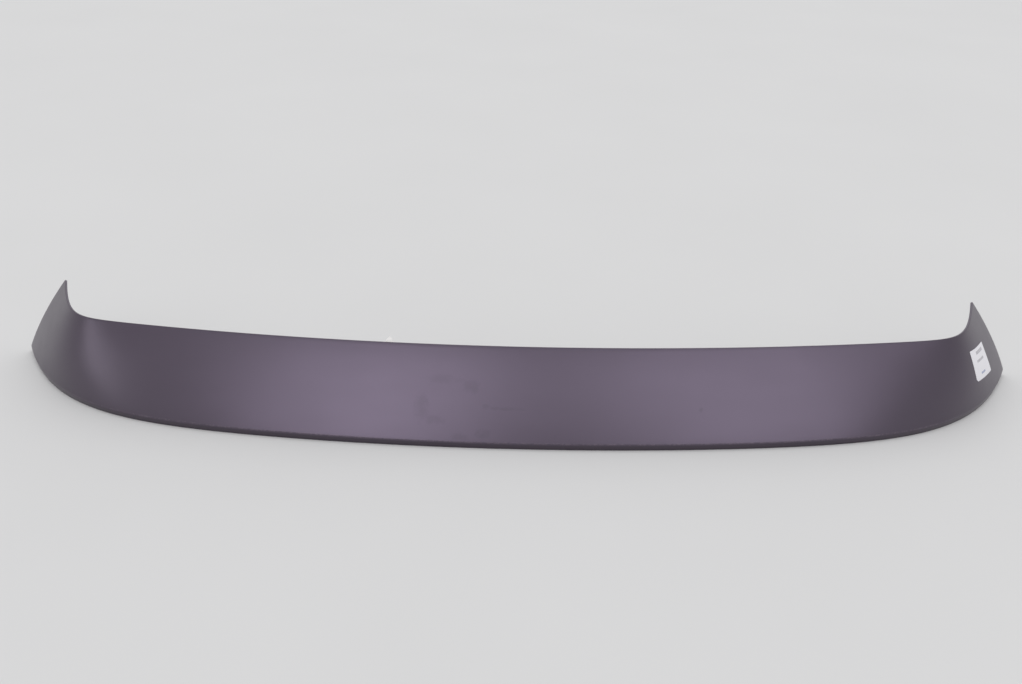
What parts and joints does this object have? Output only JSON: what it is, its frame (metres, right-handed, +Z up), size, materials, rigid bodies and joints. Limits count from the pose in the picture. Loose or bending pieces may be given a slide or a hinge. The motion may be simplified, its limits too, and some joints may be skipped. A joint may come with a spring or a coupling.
{
  "type": "car spoiler",
  "caption": "Dark moulded plastic tailgate spoiler with a wide crowned face, a folded trailing lip and two ears that sweep back to points.",
  "frame": {"origin": "middle of the bounding box, at its bottom, where the foot of the lip stands on the floor", "axes": "+X runs along the spoiler to the picture's right, the outer face looks along -Y, and +Z is up from the lip to the leading edge"},
  "size_m": [1.1794, 0.1844, 0.0985],
  "materials": {
    "shell_plastic": "satin, fine moulded grain",
    "stud_steel": "zinc plated",
    "seal_foam": "matt closed-cell foam",
    "clip_nylon": "natural nylon, satin",
    "tape_foam": "matt acrylic foam",
    "liner_film": "smooth silicone release liner",
    "label_paper": "semi-gloss label paper"
  },
  "bodies": {
    "root": {"spoiler_shell": "shell_plastic", "mount_stud_1": "stud_steel", "mount_stud_2": "stud_steel", "mount_stud_3": "stud_steel", "mount_stud_4": "stud_steel", "stud_seal_1": "seal_foam", "stud_seal_2": "seal_foam", "stud_seal_3": "seal_foam", "stud_seal_4": "seal_foam", "ear_clip_left": "clip_nylon", "ear_clip_right": "clip_nylon", "edge_tape_left": "tape_foam", "edge_tape_right": "tape_foam", "tape_liner_left": "liner_film", "tape_liner_right": "liner_film", "parts_label": "label_paper"}
  },
  "joints": []
}
